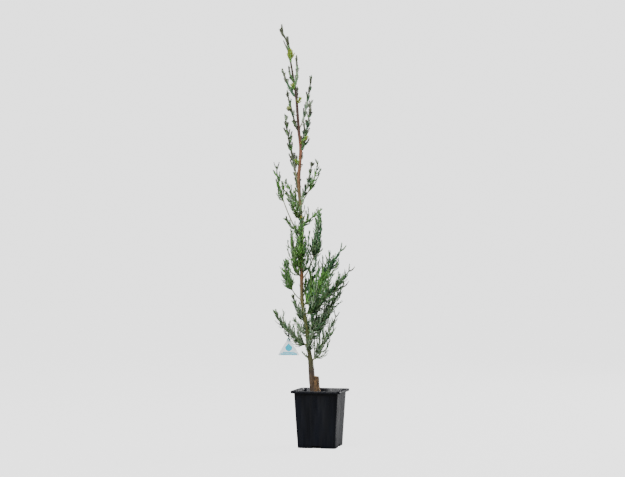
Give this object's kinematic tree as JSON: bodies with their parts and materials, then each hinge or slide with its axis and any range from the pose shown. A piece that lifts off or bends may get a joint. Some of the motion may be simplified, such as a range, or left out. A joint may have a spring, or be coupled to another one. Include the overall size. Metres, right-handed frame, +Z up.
{
  "type": "italian cypress",
  "caption": "Young Italian cypress in a square black nursery pot: slim leaning trunk, upright boughs with fine scale-leaf sprays, a sawn-off rootstock and a triangular hang tag.",
  "frame": {"origin": "centre of the pot's flat underside", "axes": "+Z up, along the trunk's growth; X and Y along the pot's sides, with the side that the picture shows most towards -Y"},
  "size_m": [0.1701, 0.1216, 0.8356],
  "materials": {
    "black_plastic": "moulded black polypropylene, satin, with faint upright flow streaks",
    "peat": "moist potting peat, matt and crumbly",
    "bark": "thin fibrous bark, grey-brown at the foot and cinnamon to olive higher up",
    "foliage": "close scale leaves, dark green to fresh green, slightly waxy",
    "tag_card": "white plastic card with a plain teal print",
    "tag_tie": "thin black tie"
  },
  "bodies": {
    "root": {"bough_back_low": "bark", "bough_back_mid": "bark", "bough_fork_right": "bark", "bough_left_long": "bark", "bough_left_low": "bark", "bough_left_top": "bark", "bough_left_tuft": "bark", "bough_low_right": "bark", "bough_right_back": "bark", "bough_right_front": "bark", "bough_right_high": "bark", "bough_right_low": "bark", "bough_right_main": "bark", "bough_right_thin": "bark", "foliage_back_high": "foliage", "foliage_back_low": "foliage", "foliage_back_mid": "foliage", "foliage_back_thin": "foliage", "foliage_back_top": "foliage", "foliage_centre_back": "foliage", "foliage_centre_front": "foliage", "foliage_fork_inner": "foliage", "foliage_fork_left": "foliage", "foliage_fork_right": "foliage", "foliage_front_high": "foliage", "foliage_front_right": "foliage", "foliage_leader": "foliage", "foliage_left_back": "foliage", "foliage_left_crown": "foliage", "foliage_left_inner": "foliage", "foliage_left_long": "foliage", "foliage_left_low": "foliage", "foliage_left_lower": "foliage", "foliage_left_mid": "foliage", "foliage_left_middle": "foliage", "foliage_left_short": "foliage", "foliage_left_thin": "foliage", "foliage_left_tip": "foliage", "foliage_left_top": "foliage", "foliage_left_tuft": "foliage", "foliage_left_upper": "foliage", "foliage_low_front": "foliage", "foliage_low_left": "foliage", "foliage_low_right": "foliage", "foliage_right_back": "foliage", "foliage_right_crown": "foliage", "foliage_right_front": "foliage", "foliage_right_high": "foliage", "foliage_right_low": "foliage", "foliage_right_main": "foliage", "foliage_right_short": "foliage", "foliage_right_thin": "foliage", "foliage_right_top": "foliage", "foliage_right_twig": "foliage", "pot": "black_plastic", "soil": "peat", "tag": "tag_card", "tag_tie": "tag_tie", "trunk": "bark"}
  },
  "joints": []
}
